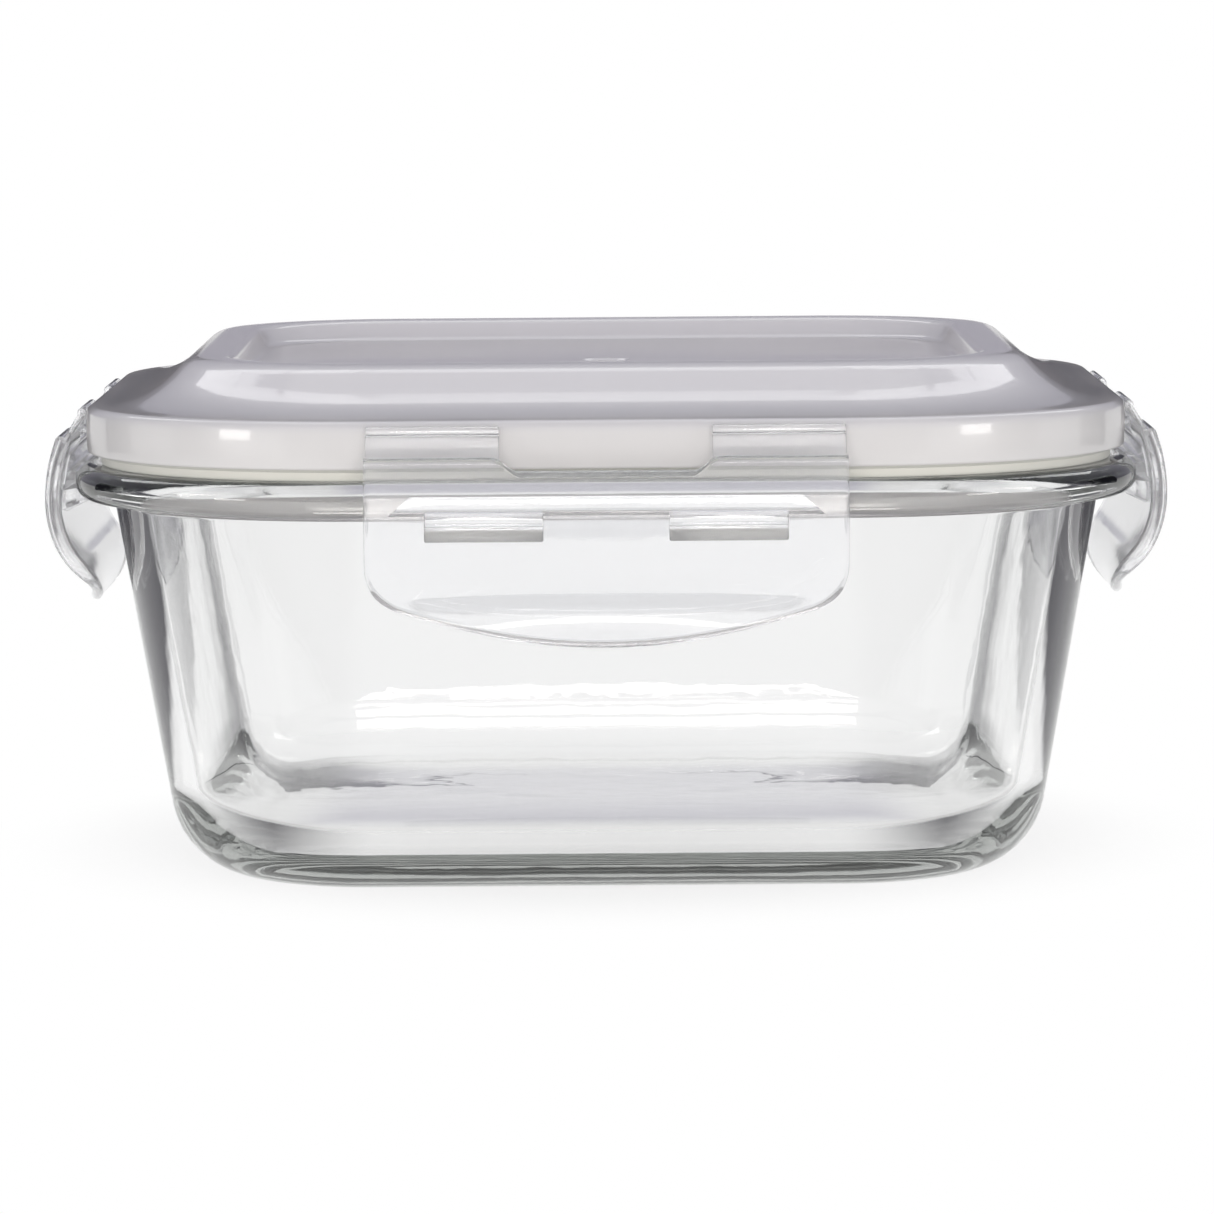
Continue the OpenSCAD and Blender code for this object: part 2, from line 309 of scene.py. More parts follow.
def swept(name, path, closed):
    """Sweeps a path of half widths and heights round the box, and fills an open path's ends."""
    rings = []
    for x, z in path:
        corner = 0 if x < ROUND_X else min(CORNER_C, x * CORNER_C / (CORNER_C + LEAST_CORNER_R))
        rings.append(square_ring(x, z, corner))
    count = len(rings[0])
    verts = [v for ring in rings for v in ring]
    faces = []
    last = len(rings) if closed else len(rings) - 1
    for i in range(last):
        a, b = i * count, (i + 1) % len(rings) * count
        for k in range(count):
            n = (k + 1) % count
            faces.append((a + k, a + n, b + n, b + k))
    if not closed:
        faces.append(tuple(range(count)))
        faces.append(tuple(range((len(rings) - 1) * count, len(rings) * count)))
    return mesh_from(name, verts, faces)


def prism(section, middle, half, slant=0.0):
    """A bar along the right-hand side: a closed section in x and z, with ends that lean in."""
    top = max(p[1] for p in section)
    low = min(p[1] for p in section)
    verts = []
    for sign in (-1, 1):
        for x, z in section:
            verts.append(Vector((x, middle + sign * (half - slant * (z - low) / (top - low)), z)))
    n = len(section)
    faces = [(k, (k + 1) % n, n + (k + 1) % n, n + k) for k in range(n)]
    faces += [tuple(range(n)), tuple(range(n, 2 * n))]
    return verts, faces


# ---------------------------------------------------------------- glass, lid and seal

def glass_path():
    """The glass from the middle of its underside, over the rim, to the middle of its floor."""
    return rounded([
        (MIDDLE_HALF, 0, 0),
        (WALL_FOOT_X, 0, FOOT_R),
        (WALL_TOP_X, GLASS_H - BEAD_H, 1.3),
        (RIM_HALF, GLASS_H - BEAD_H, BEAD_R - BEAD_FLAT),
        (RIM_HALF, GLASS_H, BEAD_R - BEAD_FLAT),
        (INNER_TOP_X, GLASS_H, 1.6),
        (INNER_FOOT_X, BASE_T, INNER_FOOT_R),
        (MIDDLE_HALF, BASE_T, 0),
    ])


def lid_path():
    """The lid from the mark in its panel, over ring, slope and skirt, to its lip and underside."""
    under = SLOPE_FOOT_X + LEDGE_TOP - LID_T * math.sqrt(2)
    return rounded([
        (GATE_R - 1.2, PANEL_TOP - GATE_DEPTH, 0),
        (GATE_R - 0.4, PANEL_TOP - GATE_DEPTH, 0),
        (GATE_R, PANEL_TOP, 0),
        (GATE_R + 0.6, PANEL_TOP, 0),
        (PANEL_X, PANEL_TOP, 1.6),
        (RING_IN_X, RING_TOP, 1.6),
        (RING_OUT_X, RING_TOP, RING_OUT_R),
        (SLOPE_FOOT_X, LEDGE_TOP, SLOPE_FOOT_R),
        (SKIRT_X - SKIRT_CROWN, LEDGE_TOP, 1.3),
        (SKIRT_X, (LEDGE_TOP + SKIRT_Z) / 2, SKIRT_CROWN_R),
        (SKIRT_X - SKIRT_CROWN, SKIRT_Z, 0.5),
        (GROOVE_OUT_X, SKIRT_Z, 0.4),
        (GROOVE_OUT_X, GROOVE_Z, 0.5),
        (GROOVE_IN_X, GROOVE_Z, 0.5),
        (GROOVE_IN_X, STEP_Z, 0.4),
        (LIP_OUT_X, STEP_Z, 0.6),
        (LIP_OUT_X, LIP_Z, 0.7),
        (LIP_IN_X, LIP_Z, 0.7),
        (LIP_IN_X, under - LIP_IN_X, 2.0),
        (under - (RING_TOP - LID_T), RING_TOP - LID_T, 1.6),
        (RING_IN_X + LID_T, RING_TOP - LID_T, 1.2),
        (PANEL_X + LID_T, PANEL_TOP - LID_T, 2.0),
        (GATE_R, PANEL_TOP - LID_T, 0),
    ])


def seal_path():
    """The seal's section: a wide band in the groove with a narrow foot on the rim of the glass."""
    out_x, in_x = seal_high.x, GROOVE_IN_X + 0.3
    mid = (out_x + in_x) / 2
    foot_h = GLASS_H + 1.4
    return rounded([
        (mid - 1.5, GLASS_H, 0.5),
        (mid + 1.5, GLASS_H, 0.5),
        (mid + 1.5, foot_h, 0.3),
        (out_x, foot_h + 0.3, 0.5),
        (out_x, GROOVE_Z, 0.6),
        (in_x, GROOVE_Z, 0.6),
        (in_x, foot_h + 0.3, 0.5),
        (mid - 1.5, foot_h, 0.3),
    ], closed=True)


# ---------------------------------------------------------------- flaps

def flap_middle():
    """The middle line of a flap's wall, from its top edge to its tip, with half thicknesses."""
    nose_angle = math.asin((NOSE_Z - BELLY_Z) / (UPPER_R - NOSE_R))
    upper = arc(FLAP_X - UPPER_R, BELLY_Z, UPPER_R - NOSE_R, nose_angle, 0)
    lower = arc(FLAP_X - LOWER_R, BELLY_Z, LOWER_R - NOSE_R, 0, -TURN)
    curl_arm = LOWER_R + CURL_R
    curl_x = FLAP_X - LOWER_R + curl_arm * math.cos(TURN)
    curl_z = BELLY_Z - curl_arm * math.sin(TURN)
    steps = 24
    curl = []
    for k in range(steps + 1):
        a = math.pi - TURN + (CURL + TURN) * k / steps
        t = FLAP_T + (TIP_T - FLAP_T) * k / steps
        toward = Vector((math.cos(a), math.sin(a)))
        curl.append((Vector((curl_x, curl_z)) + (CURL_R + t / 2) * toward, t / 2))
    # The line runs on a little past both ends, so that the wall can be cut to shape there.
    above = upper[0] + (upper[0] - upper[1]).normalized() * 2
    line = [(above, NOSE_R)] + [(p, NOSE_R) for p in upper + lower[1:]] + curl[1:]
    end, before = curl[-1][0], curl[-2][0]
    line.append((end + (end - before).normalized(), TIP_T / 2))
    return line


MIDDLE = flap_middle()
MID_Z = np.array([p[0][1] for p in MIDDLE])
MID_X = np.array([p[0][0] for p in MIDDLE])
MID_HALF = np.array([p[1] for p in MIDDLE])
MID_TANGENT = np.gradient(np.stack([MID_X, MID_Z], axis=1), axis=0)
MID_TANGENT /= np.linalg.norm(MID_TANGENT, axis=1)[:, None]
TURN_TOWARD = Vector((math.cos(TURN), -math.sin(TURN)))
TURN_END = Vector((FLAP_X - LOWER_R, BELLY_Z)) + (LOWER_R - NOSE_R) * TURN_TOWARD


def on_wall(u, z, depth):
    """A point of the flap's wall: depth runs from 1, the outer face, to -1, the inner face.

    The curl at the tip is deepest in the middle of the flap and fades out towards its corners."""
    index = np.interp(-z, -MID_Z, np.arange(len(MID_Z)))

    def at(values):
        return np.interp(index, np.arange(len(MID_Z)), values)

    tangent = Vector((at(MID_TANGENT[:, 0]), at(MID_TANGENT[:, 1])))
    outward = Vector((-tangent[1], tangent[0])).normalized()
    point = Vector((at(MID_X), at(MID_Z))) + outward * (at(MID_HALF) * depth)
    below = TURN_END[1] - z
    if below > 0:
        straight = TURN_END[0] - below * math.tan(TURN)
        point[0] += (straight - at(MID_X)) * CURL_FADE * min(1, (u / CURL_HALF) ** 2)
    return Vector((point[0], u, point[1]))


def patch(half, low, high, near, far):
    """A thin raised panel on the flap's wall between two depths."""
    columns, rows = 24, 12
    us = [-half + 2 * half * k / columns for k in range(columns + 1)]
    zs = [low + (high - low) * k / rows for k in range(rows + 1)]
    verts = [on_wall(u, z, depth) for depth in (near, far) for u in us for z in zs]

    def at(layer, i, j):
        return layer * len(us) * len(zs) + i * len(zs) + j

    faces = []
    for layer in (0, 1):
        for i in range(columns):
            for j in range(rows):
                corners = ((i, j), (i + 1, j), (i + 1, j + 1), (i, j + 1))
                faces.append(tuple(at(layer, *corner) for corner in corners))
    rim = [(i, 0) for i in range(columns + 1)] + [(columns, j) for j in range(1, rows + 1)]
    rim += [(i, rows) for i in range(columns - 1, -1, -1)]
    rim += [(0, j) for j in range(rows - 1, 0, -1)]
    for k, (i, j) in enumerate(rim):
        m, n = rim[(k + 1) % len(rim)]
        faces.append((at(0, i, j), at(0, m, n), at(1, m, n), at(1, i, j)))
    return mesh_from("patch", verts, faces)


def half_at(z):
    """Half the thickness of the flap's wall at a height."""
    return float(np.interp(-z, -MID_Z, MID_HALF))


def bottom_of(u):
    """Height of the flap's lower edge at a distance u from its middle."""
    reach = abs(u)
    tangent_x = FLAP_CORNER_X * EDGE_R / (EDGE_R - FLAP_CORNER_R)
    if reach <= tangent_x:
        return EDGE_Z - math.sqrt(EDGE_R ** 2 - reach ** 2)
    arm = EDGE_R - FLAP_CORNER_R
    corner_z = EDGE_Z - math.sqrt(arm ** 2 - FLAP_CORNER_X ** 2)
    return corner_z - math.sqrt(max(0, FLAP_CORNER_R ** 2 - (reach - FLAP_CORNER_X) ** 2))


def top_of(u):
    """Height of the flap's upper edge, which dips in an S on each side of the notch."""
    share = min(1, max(0, (abs(u) - NOTCH_HALF) / (NOTCH_END - NOTCH_HALF)))
    return NOTCH_Z + (NOSE_Z + NOSE_R - NOTCH_Z) * share * share * (3 - 2 * share)


def flap_columns():
    """Distances from the flap's middle at which its wall is divided, from one side to the other."""
    half = [0.0, 3, 6, 9, 11.5, 12.8, 13.5, 14.0, 14.5, 15.0, 15.5, 16.0, 16.5, 17.0, 17.6]
    half += [18.5, 20, 21.5, 24, 26.5, 28.5, 30]
    half += [FLAP_CORNER_X + FLAP_CORNER_R * math.sin(math.radians(a)) for a in range(20, 91, 7)]
    half.append(FLAP_HALF)
    half = sorted(set(round(u, 4) for u in half))
    return [-u for u in reversed(half[1:])] + half


def wall_mesh():
    """The flap's wall: a plate with a round edge, laid on the middle line."""
    columns = flap_columns()
    rows = WALL_ROWS
    n_u, n_v = len(columns), rows + 1

    def spot(i, j):
        low, high = bottom_of(columns[i]), top_of(columns[i])
        return Vector((columns[i], high + (low - high) * j / rows))

    loop = [(i, 0) for i in range(n_u)] + [(n_u - 1, j) for j in range(1, n_v)]
    loop += [(i, rows) for i in range(n_u - 2, -1, -1)] + [(0, j) for j in range(rows - 1, 0, -1)]
    edge = [spot(i, j) for i, j in loop]
    rim = WALL_EDGE_R
    squeeze = 1 - rim / FLAP_HALF
    top_inset = [Vector((u * squeeze, top_of(u) - rim)) for u in columns]
    bottom_inset = []
    for i, u in enumerate(columns):
        before, after = spot(max(i - 1, 0), rows), spot(min(i + 1, n_u - 1), rows)
        slope = (after - before).normalized()
        if i in (0, n_u - 1):
            slope = Vector((0, math.copysign(1, u)))
        bottom_inset.append(spot(i, rows) + Vector((-slope[1], slope[0])) * rim)

    def inset(i, j):
        return top_inset[i] + (bottom_inset[i] - top_inset[i]) * j / rows

    verts, faces = [], []

    def add(flat, side, distance):
        half = half_at(flat[1])
        round_r = min(rim, half * WALL_EDGE_MOST)
        lost = max(0, round_r - distance)
        depth = side * (1 - (round_r - math.sqrt(round_r ** 2 - lost ** 2)) / half)
        verts.append(on_wall(flat[0], flat[1], depth))
        return len(verts) - 1

    grids = {}
    for side in (1, -1):
        grid = {(i, j): add(inset(i, j), side, rim) for i in range(n_u) for j in range(n_v)}
        grids[side] = grid
        for i in range(n_u - 1):
            for j in range(rows):
                corners = ((i, j), (i + 1, j), (i + 1, j + 1), (i, j + 1))
                faces.append(tuple(grid[corner] for corner in corners))
    inner = [inset(i, j) for i, j in loop]

    def ring(side, distance):
        return [add(e + (n - e) * distance / rim, side, distance) for e, n in zip(edge, inner)]

    rings = [[grids[1][key] for key in loop]]
    rings += [ring(1, d) for d in reversed(WALL_EDGE_STEPS)]
    rings += [ring(-1, d) for d in WALL_EDGE_STEPS]
    rings.append([grids[-1][key] for key in loop])
    for a, b in zip(rings, rings[1:]):
        for k in range(len(loop)):
            n = (k + 1) % len(loop)
            faces.append((a[k], a[n], b[n], b[k]))
    return mesh_from("flap_wall", verts, faces)


def rib_part():
    """The stiffening rib behind the flap, which lies round the bead of the glass."""
    back_x = HOOK_BACK_X - ROOTED
    section = arc(BEAD_X, BEAD_Z, HOOK_ARM, RIB_TOP, RIB_LOW, 10)
    section += [Vector((back_x, BEAD_Z + HOOK_ARM * math.sin(RIB_LOW) - RIB_FALL))]
    section += [Vector((back_x, BEAD_Z + HOOK_ARM * math.sin(RIB_TOP)))]
    return prism(section, 0, RIB_HALF, RIB_SLANT)


def hook_part(middle):
    """A hook that reaches under the bead of the glass."""
    back_x = HOOK_BACK_X - ROOTED
    tip_x = BEAD_X + HOOK_ARM * math.cos(HOOK_WRAP)
    tip_z = BEAD_Z + HOOK_ARM * math.sin(HOOK_WRAP)
    section = arc(BEAD_X, BEAD_Z, HOOK_ARM, 0, HOOK_WRAP, 14)
    section += [Vector((tip_x, tip_z)) - Vector((0, HOOK_TIP_T))]
    section += [Vector((back_x, BELLY_Z - HOOK_ROOT_DROP)), Vector((back_x, BEAD_Z))]
    return prism(section, middle, HOOK_HALF)


def strip_part(side):
    """A hinge strip: a thin web from its round root at the skirt into the flap's top edge."""
    root = Vector((ROOT_X, ROOT_Z))
    nose = Vector(MIDDLE[1][0])
    along = (nose - root).normalized()
    across = Vector((-along[1], along[0])) * (STRIP_T / 2)
    start = math.atan2(across[1], across[0])
    gap = math.asin(STRIP_T / 2 / ROOT_R)
    first, last = start - math.pi / 2 + gap, start + math.pi * 1.5 - gap
    section = arc(root[0], root[1], ROOT_R, first, last, 20)
    section += [nose - across, nose + across]
    middle = (STRIP_IN + FLAP_HALF - STRIP_INSET) / 2
    return prism(section, side * middle, middle - STRIP_IN)


def bevelled(mesh, width, segments=2, limit=30):
    """Rounds the edges of a mesh in millimetres that are sharper than the limit."""
    bm = bmesh.new()
    bm.from_mesh(mesh)
    bmesh.ops.recalc_face_normals(bm, faces=bm.faces)
    edges = [e for e in bm.edges if e.is_manifold and e.calc_face_angle() > math.radians(limit)]
    bmesh.ops.bevel(bm, geom=edges, offset=width, segments=segments, profile=0.5,
                    affect="EDGES", clamp_overlap=True)
    bm.to_mesh(mesh)
    bm.free()
    return mesh


def outward(mesh):
    """Turns the faces of a closed mesh outward."""
    bm = bmesh.new()
    bm.from_mesh(mesh)
    bmesh.ops.recalc_face_normals(bm, faces=bm.faces)
    if bm.calc_volume(signed=True) < 0:
        bmesh.ops.reverse_faces(bm, faces=bm.faces)
    bm.to_mesh(mesh)
    bm.free()


def joined(target, others):
    """Joins closed meshes into one solid."""
    for mesh in [target] + others:
        outward(mesh)
    base = bpy.data.objects.new("base", target)
    bpy.context.scene.collection.objects.link(base)
    tools = []
    for mesh in others:
        tool = bpy.data.objects.new("tool", mesh)
        bpy.context.scene.collection.objects.link(tool)
        tools.append(tool)
        union = base.modifiers.new("join", "BOOLEAN")
        union.operation = "UNION"
        union.solver = "EXACT"
        union.object = tool
    graph = bpy.context.evaluated_depsgraph_get()
    result = bpy.data.meshes.new_from_object(base.evaluated_get(graph))
    for obj in [base] + tools:
        bpy.data.objects.remove(obj)
    return result


def flap_mesh():
    """The right-hand flap in one mesh: its wall, frame, rib, hooks and hinge strips."""
    extras = [patch(FRAME_HALF, FRAME_LOW, FRAME_HIGH, FRAME_NEAR, FRAME_FAR)]
    extras.append(bevelled(mesh_from("rib", *rib_part()), RIB_EDGE_R))
    for side in (-1, 1):
        extras.append(bevelled(mesh_from("hook", *hook_part(side * HOOK_X)), HOOK_EDGE_R))
        extras.append(bevelled(mesh_from("strip", *strip_part(side)), STRIP_EDGE_R))
    return joined(wall_mesh(), extras)


# ---------------------------------------------------------------- materials

def material(name):
    """A new material with its nodes, its links and its main shader."""
    mat = bpy.data.materials.new(name)
    mat.use_nodes = True
    nodes = mat.node_tree.nodes
    return mat, nodes, mat.node_tree.links, nodes["Principled BSDF"]


def noise_bump(nodes, links, shader, scale, strength, distance):
    """A fine unevenness of the surface."""
    coord = nodes.new("ShaderNodeTexCoord")
    noise = nodes.new("ShaderNodeTexNoise")
    noise.inputs["Scale"].default_value = scale
    noise.inputs["Detail"].default_value = 3
    bump = nodes.new("ShaderNodeBump")
    bump.inputs["Strength"].default_value = strength
    bump.inputs["Distance"].default_value = distance
    links.new(coord.outputs["Object"], noise.inputs["Vector"])
    links.new(noise.outputs["Fac"], bump.inputs["Height"])
    links.new(bump.outputs["Normal"], shader.inputs["Normal"])


def clear_glass():
    """Clear glass that turns slightly green where the light goes a long way through it."""
    mat, nodes, links, shader = material("clear_glass")
    shader.inputs["Base Color"].default_value = (1, 1, 1, 1)
    shader.inputs["Roughness"].default_value = 0.0
    shader.inputs["IOR"].default_value = 1.5
    shader.inputs["Transmission Weight"].default_value = 1.0
    noise_bump(nodes, links, shader, scale=60, strength=0.08, distance=0.0006)
    body = nodes.new("ShaderNodeVolumeAbsorption")
    body.inputs["Color"].default_value = (0.49, 0.51, 0.49, 1)
    body.inputs["Density"].default_value = 13
    links.new(body.outputs["Volume"], nodes["Material Output"].inputs["Volume"])
    return mat


def lid_plastic():
    """Milky plastic: a glossy surface, mixed with light that comes through from behind."""
    mat, nodes, links, shader = material("lid_plastic")
    # The skirt is painted lighter and less blue: painted light that stands in for the light which
    # comes through it and the pale seal seen through it.
    coord = nodes.new("ShaderNodeTexCoord")
    split = nodes.new("ShaderNodeSeparateXYZ")
    height = nodes.new("ShaderNodeMapRange")
    height.inputs["From Min"].default_value = (LEDGE_TOP - SKIRT_LIGHT_FADE) * MM
    height.inputs["From Max"].default_value = LEDGE_TOP * MM
    skirt_light = nodes.new("ShaderNodeMix")
    skirt_light.data_type = "RGBA"
    skirt_light.inputs["A"].default_value = SKIRT_PAINTED_LIGHT
    skirt_light.inputs["B"].default_value = LID_COLOUR
    links.new(coord.outputs["Object"], split.inputs["Vector"])
    links.new(split.outputs["Z"], height.inputs["Value"])
    links.new(height.outputs["Result"], skirt_light.inputs["Factor"])
    links.new(skirt_light.outputs["Result"], shader.inputs["Base Color"])
    shader.inputs["Roughness"].default_value = 0.30
    shader.inputs["IOR"].default_value = 1.49
    shader.inputs["Coat Weight"].default_value = 1.0
    shader.inputs["Coat Roughness"].default_value = 0.07
    noise_bump(nodes, links, shader, scale=700, strength=0.05, distance=0.0002)
    glow = nodes.new("ShaderNodeBsdfTranslucent")
    glow.inputs["Color"].default_value = (0.84, 0.81, 0.80, 1)
    mix = nodes.new("ShaderNodeMixShader")
    mix.inputs["Fac"].default_value = 0.38
    links.new(shader.outputs["BSDF"], mix.inputs[1])
    links.new(glow.outputs["BSDF"], mix.inputs[2])
    links.new(mix.outputs["Shader"], nodes["Material Output"].inputs["Surface"])
    return mat


def flap_plastic():
    """Clear, slightly frosted plastic."""
    mat, nodes, links, shader = material("flap_plastic")
    shader.inputs["Base Color"].default_value = (0.93, 0.935, 0.95, 1)
    shader.inputs["Roughness"].default_value = 0.07
    shader.inputs["IOR"].default_value = 1.45
    shader.inputs["Transmission Weight"].default_value = 0.9
    noise_bump(nodes, links, shader, scale=500, strength=0.04, distance=0.0002)
    return mat


def seal_silicone():
    """Pale, dull silicone."""
    mat, nodes, links, shader = material("seal_silicone")
    shader.inputs["Base Color"].default_value = (0.52, 0.52, 0.485, 1)
    shader.inputs["Roughness"].default_value = 0.45
    noise_bump(nodes, links, shader, scale=900, strength=0.08, distance=0.0002)
    return mat


# ---------------------------------------------------------------- pieces

def piece(name, mesh, body, mat, nodes):
    """A visible piece that rides on a body and replaces CAD nodes."""
    obj = finish_mesh(name, mesh)
    obj.data.materials.clear()
    obj.data.materials.append(mat)
    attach(obj, body)
    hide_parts(*nodes)


def build_object():
    """Makes the seven pieces: the glass, the lid, the seal and a locking flap on each side."""
    glass = clear_glass()
    lid = lid_plastic()
    clear = flap_plastic()
    seal = seal_silicone()
    box = swept("glass_box", glass_path(), False)
    piece("glass_box", box, "glass", glass, ["glass_body"])
    moulding = swept("lid_moulding", lid_path(), False)
    piece("lid_moulding", moulding, "lid", lid, ["lid"])
    ring = swept("silicone_seal", seal_path(), True)
    piece("silicone_seal", ring, "lid", seal, ["seal_ring"])
    base = flap_mesh()
    for side, angle in SIDES.items():
        mesh = base.copy()
        mesh.transform(Matrix.Rotation(math.radians(angle), 4, "Z"))
        nodes = ["flap_" + side, "hinge_strip_" + side]
        piece("locking_flap_" + side, mesh, "flap_" + side, clear, nodes)


# ---------------------------------------------------------------- stage

def camera():
    """The photograph's view: far off, a little above the lid, and rolled slightly."""
    data = bpy.data.cameras.new("camera")
    data.sensor_width = 36
    data.lens = LENS
    data.clip_start, data.clip_end = 0.05, 50
    cam = bpy.data.objects.new("camera", data)
    bpy.context.scene.collection.objects.link(cam)
    pitch, roll = math.radians(90 - PITCH_DOWN), math.radians(ROLL)
    turn = Matrix.Rotation(pitch, 4, "X") @ Matrix.Rotation(roll, 4, "Z")
    cam.matrix_world = Matrix.Translation(EYE) @ turn
    bpy.context.scene.camera = cam


def lamp(name, place, target, size, watts, colour=(1, 1, 1), turn=0.0):
    """A rectangular lamp that faces its target, turned about the vertical."""
    data = bpy.data.lights.new(name, "AREA")
    data.shape = "RECTANGLE"
    data.size, data.size_y = size
    data.energy = watts
    data.color = colour
    obj = bpy.data.objects.new(name, data)
    obj.location = place
    aim = (Vector(target) - Vector(place)).to_track_quat("-Z", "Y")
    obj.rotation_euler = (Matrix.Rotation(turn, 3, "Z") @ aim.to_matrix()).to_euler()
    bpy.context.scene.collection.objects.link(obj)
    return obj


def floor_white(nodes, links, coord):
    """The white that the floor shows, with a painted shadow under the box, where it is dimmer and
    bluer.

    Light that was turned back inside the glass finds dark grey instead, as of black flags beside
    the table, except in four straight lanes in front of the box's sides."""
    white = nodes.new("ShaderNodeMix")
    white.data_type = "RGBA"
    white.inputs["B"].default_value = LANE_GREY
    path = nodes.new("ShaderNodeLightPath")
    turned = nodes.new("ShaderNodeMath")
    turned.operation = "GREATER_THAN"
    turned.inputs[1].default_value = 0.5
    caught = nodes.new("ShaderNodeMath")
    caught.operation = "MULTIPLY"
    links.new(path.outputs["Glossy Depth"], turned.inputs[0])
    links.new(turned.outputs["Value"], caught.inputs[0])
    links.new(path.outputs["Is Transmission Ray"], caught.inputs[1])
    size = nodes.new("ShaderNodeVectorMath")
    size.operation = "ABSOLUTE"
    split = nodes.new("ShaderNodeSeparateXYZ")
    nearest = nodes.new("ShaderNodeMath")
    nearest.operation = "MINIMUM"
    lane = nodes.new("ShaderNodeMapRange")
    lane.interpolation_type = "SMOOTHSTEP"
    lane.inputs["From Min"].default_value = LANE_HALF
    lane.inputs["From Max"].default_value = LANE_HALF + LANE_FADE
    links.new(coord.outputs["Object"], size.inputs[0])
    links.new(size.outputs["Vector"], split.inputs["Vector"])
    links.new(split.outputs["X"], nearest.inputs[0])
    links.new(split.outputs["Y"], nearest.inputs[1])
    furthest = nodes.new("ShaderNodeMath")
    furthest.operation = "MAXIMUM"
    painted_shadow_mask = nodes.new("ShaderNodeMapRange")
    painted_shadow_mask.interpolation_type = "SMOOTHSTEP"
    painted_shadow_mask.inputs["From Min"].default_value = PAINTED_SHADOW_HALF
    painted_shadow_mask.inputs["From Max"].default_value = PAINTED_SHADOW_HALF + PAINTED_SHADOW_FADE
    # Painted shadow: a dimmer, bluer white under the box
    under = nodes.new("ShaderNodeMix")
    under.data_type = "RGBA"
    under.inputs["A"].default_value = PAINTED_SHADOW_COLOUR
    under.inputs["B"].default_value = (1, 1, 1, 1)
    links.new(split.outputs["X"], furthest.inputs[0])
    links.new(split.outputs["Y"], furthest.inputs[1])
    links.new(furthest.outputs["Value"], painted_shadow_mask.inputs["Value"])
    links.new(painted_shadow_mask.outputs["Result"], under.inputs["Factor"])
    links.new(under.outputs["Result"], white.inputs["A"])
    links.new(nearest.outputs["Value"], lane.inputs["Value"])
    dark = nodes.new("ShaderNodeMath")
    dark.operation = "MULTIPLY"
    links.new(caught.outputs["Value"], dark.inputs[0])
    links.new(lane.outputs["Result"], dark.inputs[1])
    links.new(dark.outputs["Value"], white.inputs["Factor"])
    return white.outputs["Result"]


def floor():
    """A white disc that fades into the white backdrop and keeps the shadow near the box."""
    mesh = bpy.data.meshes.new("floor")
    bm = bmesh.new()
    bmesh.ops.create_circle(bm, cap_ends=True, segments=96, radius=FLOOR_R)
    bm.to_mesh(mesh)
    bm.free()
    obj = bpy.data.objects.new("floor", mesh)
    obj.location.z = -FLOOR_DROP
    bpy.context.scene.collection.objects.link(obj)
    mat, nodes, links, shader = material("floor")
    shader.inputs["Base Color"].default_value = (0.93, 0.93, 0.93, 1)
    shader.inputs["Roughness"].default_value = 0.9
    shader.inputs["Specular IOR Level"].default_value = 0
    white = nodes.new("ShaderNodeEmission")
    white.inputs["Strength"].default_value = 1
    coord = nodes.new("ShaderNodeTexCoord")
    links.new(floor_white(nodes, links, coord), white.inputs["Color"])
    length = nodes.new("ShaderNodeVectorMath")
    length.operation = "LENGTH"
    fade = nodes.new("ShaderNodeMapRange")
    fade.interpolation_type = "SMOOTHSTEP"
    fade.inputs["From Min"].default_value = SHADOW_IN
    fade.inputs["From Max"].default_value = SHADOW_OUT
    fade.inputs["To Min"].default_value = SHADOW_WHITE
    mix = nodes.new("ShaderNodeMixShader")
    links.new(coord.outputs["Object"], length.inputs[0])
    links.new(length.outputs["Value"], fade.inputs["Value"])
    links.new(fade.outputs["Result"], mix.inputs["Fac"])
    links.new(shader.outputs["BSDF"], mix.inputs[1])
    links.new(white.outputs["Emission"], mix.inputs[2])
    links.new(mix.outputs["Shader"], nodes["Material Output"].inputs["Surface"])
    mesh.materials.append(mat)


def world():
    """White where the camera, a reflection or the glass shows the backdrop, and a soft fill."""
    world = bpy.data.worlds.new("world")
    world.use_nodes = True
    bpy.context.scene.world = world
    nodes, links = world.node_tree.nodes, world.node_tree.links
    fill = nodes["Background"]
    fill.inputs["Color"].default_value = FILL_COLOUR
    fill.inputs["Strength"].default_value = FILL
    seen = nodes.new("ShaderNodeBackground")
    seen.inputs["Color"].default_value = (1, 1, 1, 1)
    seen.inputs["Strength"].default_value = 1
    path = nodes.new("ShaderNodeLightPath")
    shown = nodes.new("ShaderNodeMath")
    shown.operation = "MAXIMUM"
    both = nodes.new("ShaderNodeMath")
    both.operation = "MAXIMUM"
    mix = nodes.new("ShaderNodeMixShader")
    links.new(path.outputs["Is Camera Ray"], both.inputs[0])
    links.new(path.outputs["Is Glossy Ray"], both.inputs[1])
    links.new(both.outputs["Value"], shown.inputs[0])
    links.new(path.outputs["Is Transmission Ray"], shown.inputs[1])
    links.new(shown.outputs["Value"], mix.inputs["Fac"])
    links.new(fill.outputs["Background"], mix.inputs[1])
    links.new(seen.outputs["Background"], mix.inputs[2])
    links.new(mix.outputs["Shader"], nodes["World Output"].inputs["Surface"])


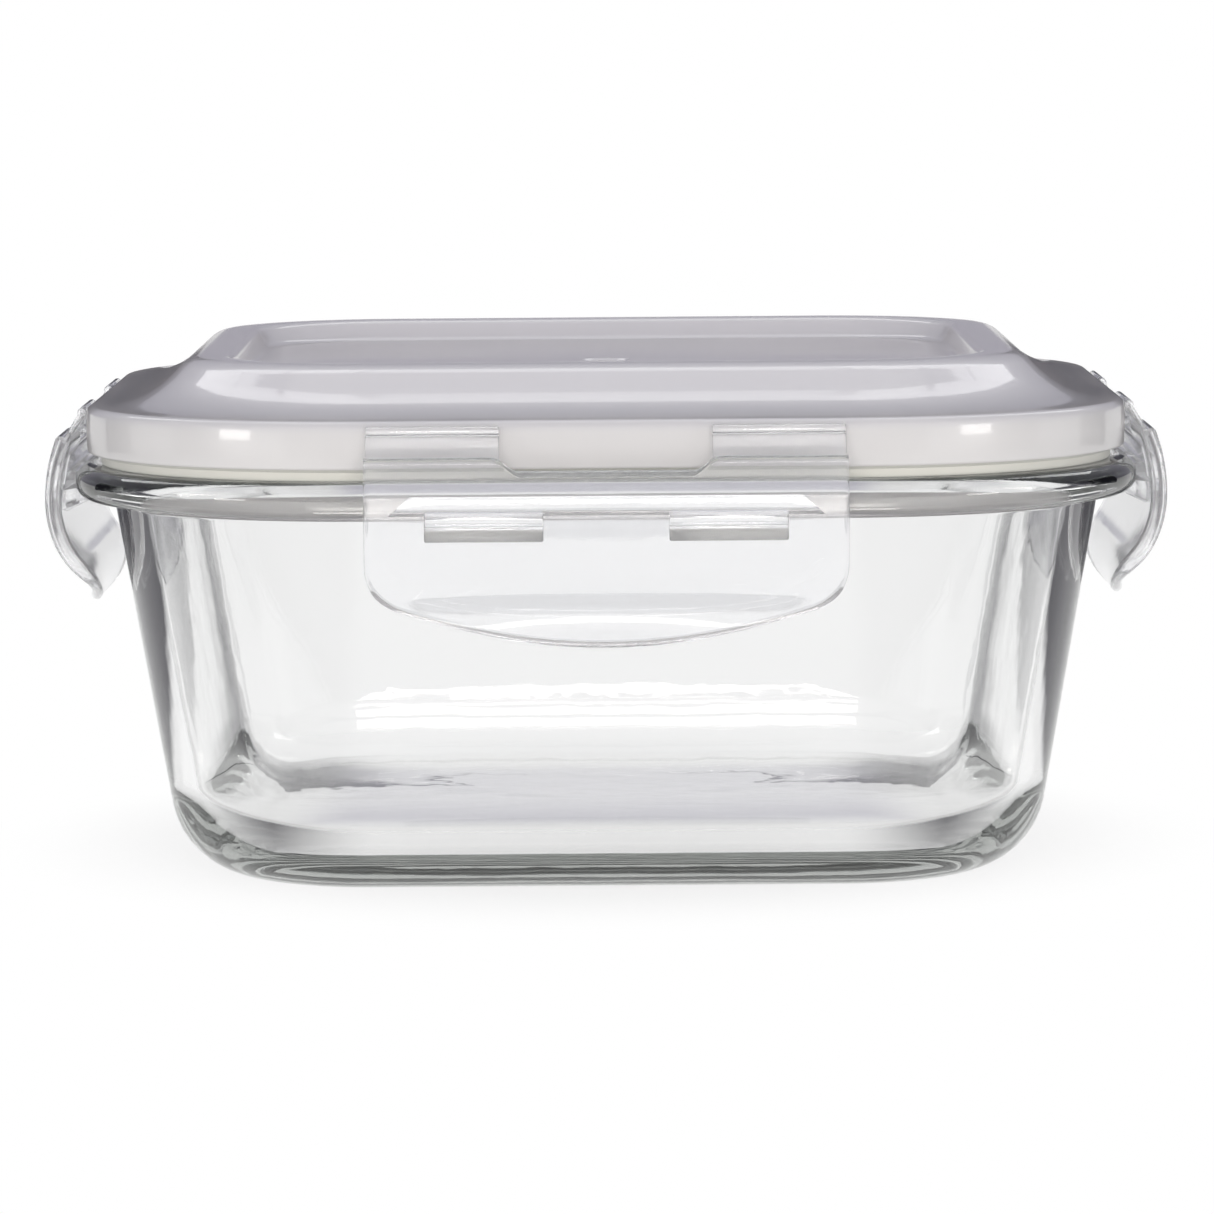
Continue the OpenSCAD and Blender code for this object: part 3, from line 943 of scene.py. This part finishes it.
def card(name, start, end, radius, low, high, colour):
    """A curved card round the table, between two azimuths, that only reflections show."""
    mat = bpy.data.materials.new(name)
    mat.use_nodes = True
    nodes, links = mat.node_tree.nodes, mat.node_tree.links
    glow = nodes.new("ShaderNodeEmission")
    glow.inputs["Color"].default_value = (*colour, 1)
    links.new(glow.outputs["Emission"], nodes["Material Output"].inputs["Surface"])
    steps = max(4, round((end - start) / CARD_STEP))
    verts, faces = [], []
    for k in range(steps + 1):
        a = math.radians(start + (end - start) * k / steps)
        verts += [(radius * math.sin(a), -radius * math.cos(a), z) for z in (low, high)]
    for k in range(steps):
        faces.append((2 * k, 2 * k + 2, 2 * k + 3, 2 * k + 1))
    mesh = mesh_from(name, verts, faces)
    mesh.materials.append(mat)
    obj = bpy.data.objects.new(name, mesh)
    obj.visible_camera = False
    obj.visible_diffuse = False
    obj.visible_shadow = False
    obj.visible_transmission = False
    bpy.context.scene.collection.objects.link(obj)


def studio_cards():
    """Dark flags between bright openings, and a dim wall behind them, for the reflections."""
    for turn in range(FLAGS):
        middle = (turn + 0.5) * 360 / FLAGS
        first, last = middle - FLAG_SPREAD, middle + FLAG_SPREAD
        card("flag", first, last, FLAG_R, 0, FLAG_H, FLAG_COLOUR)
    card("wall", 0, 360, BACK_WALL_R, BACK_WALL_LOW, BACK_WALL_HIGH, BACK_WALL_COLOUR)


def key_lamp():
    """The warm lamp in front, which no reflection shows."""
    key = lamp("key", KEY_PLACE, KEY_TARGET, KEY_SIZE, KEY_WATTS, KEY_COLOUR)
    key.visible_glossy = False


def strip_lamps():
    """Overhead strips along the line that the lid's front slope and its corners reflect."""
    first_x, first_y = STRIP_LINE[0]
    length = 2 * first_x
    power = length * STRIP_W * STRIP_POWER * STRIP_MIDDLE_SHARE
    lamp("strip", (0, first_y, STRIP_H), (0, first_y, 0), (length, STRIP_W), power)
    for side in (-1, 1):
        for (x0, y0), (x1, y1) in zip(STRIP_LINE, STRIP_LINE[1:]):
            x, y = side * (x0 + x1) / 2, (y0 + y1) / 2
            length = math.hypot(x1 - x0, y1 - y0)
            turn = side * math.atan2(y1 - y0, x1 - x0)
            power = length * STRIP_W * STRIP_POWER
            lamp("strip", (x, y, STRIP_H), (x, y, 0), (length, STRIP_W), power, turn=turn)


def window_lamps():
    """Two small lamps that the lid's skirt shows as the reflections of windows."""
    for side in (-1, 1):
        place = (side * WINDOW_X, WINDOW_Y, WINDOW_H)
        target = (0, 0, WINDOW_H)
        window = lamp("window", place, target, WINDOW_SIZE, WINDOW_WATTS, WINDOW_COLOUR)
        window.visible_camera = False
        window.visible_transmission = False


camera()
build_object()
floor()
world()
studio_cards()
key_lamp()
strip_lamps()
window_lamps()
cycles = bpy.context.scene.cycles
cycles.max_bounces = 64
cycles.transmission_bounces = 48
cycles.glossy_bounces = 48
cycles.diffuse_bounces = 6

bpy.context.scene.view_settings.view_transform = "Standard"
